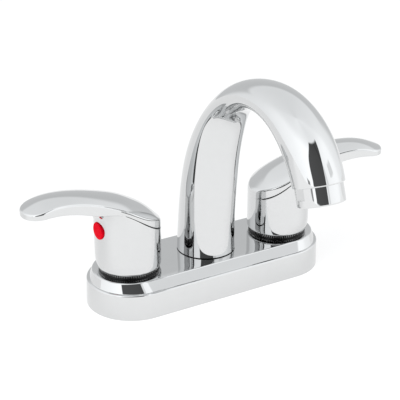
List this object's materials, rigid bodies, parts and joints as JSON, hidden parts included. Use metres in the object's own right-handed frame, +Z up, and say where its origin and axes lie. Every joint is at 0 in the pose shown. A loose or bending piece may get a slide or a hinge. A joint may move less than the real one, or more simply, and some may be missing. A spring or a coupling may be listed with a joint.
{
  "type": "basin mixer tap",
  "caption": "Chrome deck-mounted basin mixer tap: oval base, arched swivel spout with aerator, and two quarter-turn lever handles over threaded inlet shanks.",
  "frame": {"origin": "on the deck surface, at the swivel axis of the spout, midway between the two handles", "axes": "+Z up out of the deck, -Y forward over the basin towards the user, +X along the base towards the cold handle"},
  "size_m": [0.2252, 0.1468, 0.1866],
  "materials": {
    "polished_chrome": "bright mirror polish, very slightly blue",
    "brass": "machined and cast brass, satin",
    "plain_steel": "zinc plated pressed steel",
    "white_plastic": "moulded, fine grain",
    "ceramic": null,
    "black_rubber": "moulded rubber, satin",
    "black_plastic": "moulded, satin black",
    "grey_plastic": "moulded, satin grey",
    "red_plastic": "glossy translucent looking red",
    "blue_plastic": "glossy blue"
  },
  "bodies": {
    "base": {"base_cover": "polished_chrome", "base_gasket": "black_rubber", "cartridge_housing_cold": "brass", "cartridge_housing_hot": "brass", "cartridge_seal_cold": "black_rubber", "cartridge_seal_hot": "black_rubber", "fixed_disc_cold": "ceramic", "fixed_disc_hot": "ceramic", "gland_nut": "brass", "inlet_shank_cold": "brass", "inlet_shank_hot": "brass", "mounting_nut_cold": "white_plastic", "mounting_nut_hot": "white_plastic", "mounting_washer_cold": "plain_steel", "mounting_washer_hot": "plain_steel", "seat_seal_cold": "black_rubber", "seat_seal_hot": "black_rubber", "spout_seat_ring": "black_rubber", "toothed_ring_cold": "black_plastic", "toothed_ring_hot": "black_plastic", "waterway_body": "brass"},
    "handle_hot": {"handle_hot": "polished_chrome", "index_button_hot": "red_plastic", "set_screw_hot": "plain_steel", "valve_stem_hot": "brass", "moving_disc_hot": "ceramic", "stem_seal_hot": "black_rubber"},
    "handle_cold": {"handle_cold": "polished_chrome", "index_button_cold": "blue_plastic", "set_screw_cold": "plain_steel", "valve_stem_cold": "brass", "moving_disc_cold": "ceramic", "stem_seal_cold": "black_rubber"},
    "spout": {"spout": "polished_chrome", "spout_tail": "brass", "tail_seal_lower": "black_rubber", "tail_seal_upper": "black_rubber", "aerator_housing": "polished_chrome", "aerator_washer": "black_rubber", "aerator_insert": "grey_plastic", "aerator_screen": "grey_plastic"}
  },
  "joints": [
    {"name": "hot_handle_turn", "type": "hinge", "parent": "base", "child": "handle_hot", "pos_m": [-0.0508, 0, 0.0235], "axis": [0, 0, 1], "range_deg": [-4, 86]},
    {"name": "cold_handle_turn", "type": "hinge", "parent": "base", "child": "handle_cold", "pos_m": [0.0508, 0, 0.0235], "axis": [0, 0, 1], "range_deg": [-70, 20]},
    {"name": "spout_swivel", "type": "hinge", "parent": "base", "child": "spout", "pos_m": [0, 0, 0.0214], "axis": [0, 0, 1], "range_deg": [-60, 60]}
  ]
}
